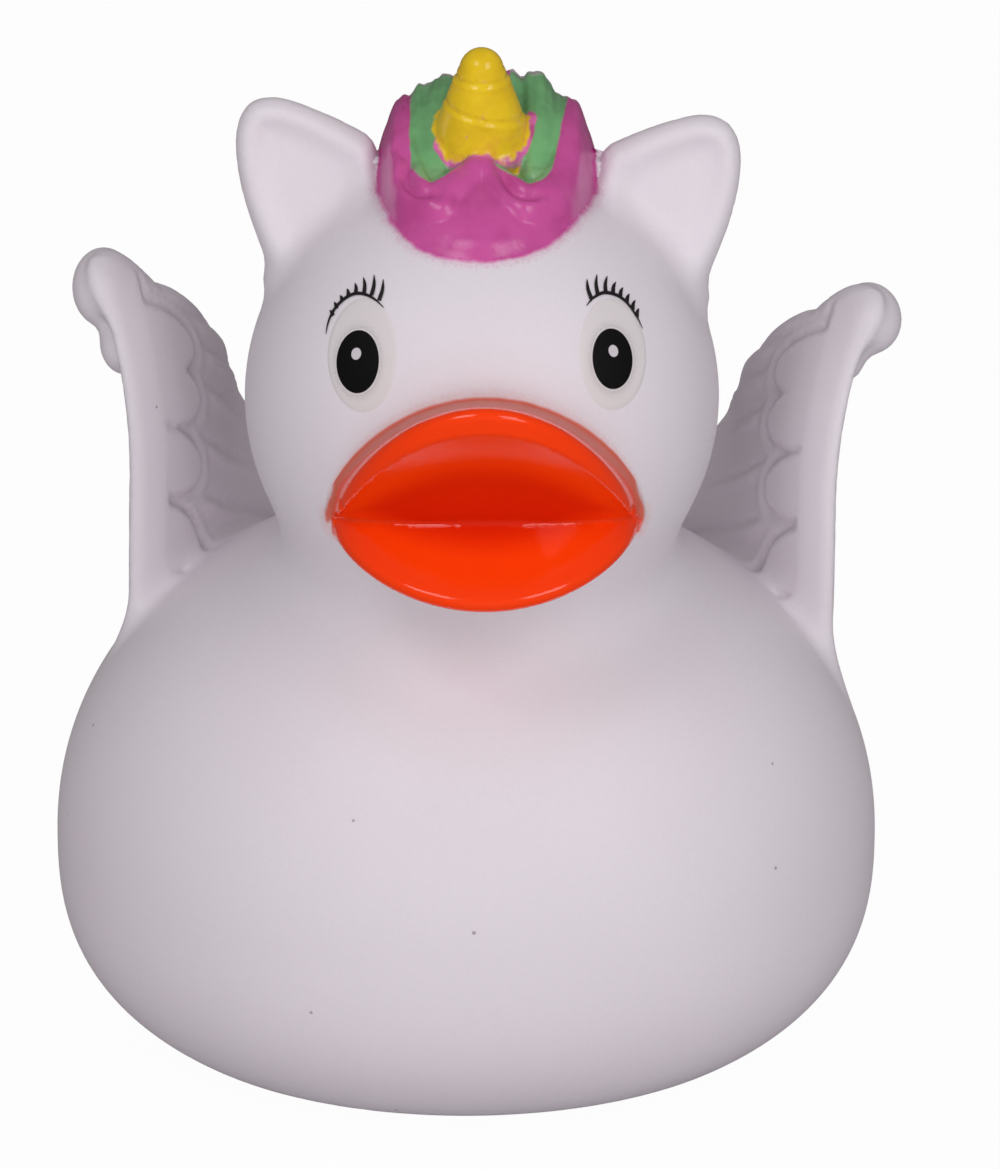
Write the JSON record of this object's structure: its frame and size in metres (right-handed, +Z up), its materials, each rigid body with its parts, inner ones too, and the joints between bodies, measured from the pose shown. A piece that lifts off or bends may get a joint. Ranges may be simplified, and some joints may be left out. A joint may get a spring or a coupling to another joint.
{
  "type": "winged unicorn bath duck",
  "caption": "Hollow soft vinyl bath duck with an open bill, pricked ears, a small ringed horn, a low mane, raised feathered wings, an upturned tail and a squeaker in its flat base.",
  "frame": {"origin": "centre of the bounding box on the plane that the flat base stands on, which is also the axis of the squeaker", "axes": "+Z up from the base to the horn, the face and the open bill look along -Y, the tail points along +Y, +X is to the right of someone looking at the face"},
  "size_m": [0.0775, 0.0843, 0.0958],
  "materials": {
    "vinyl": "white soft vinyl, satin, with sprayed orange, pink, green and yellow paint",
    "eye_print": "pad-printed satin ink, black and off-white",
    "squeaker_plastic": "moulded white plastic, satin",
    "reed_metal": "thin rolled brass strip"
  },
  "bodies": {
    "root": {"duck_shell": "vinyl", "squeaker_housing": "squeaker_plastic", "squeaker_cap": "squeaker_plastic", "squeaker_reed": "reed_metal"}
  },
  "joints": []
}
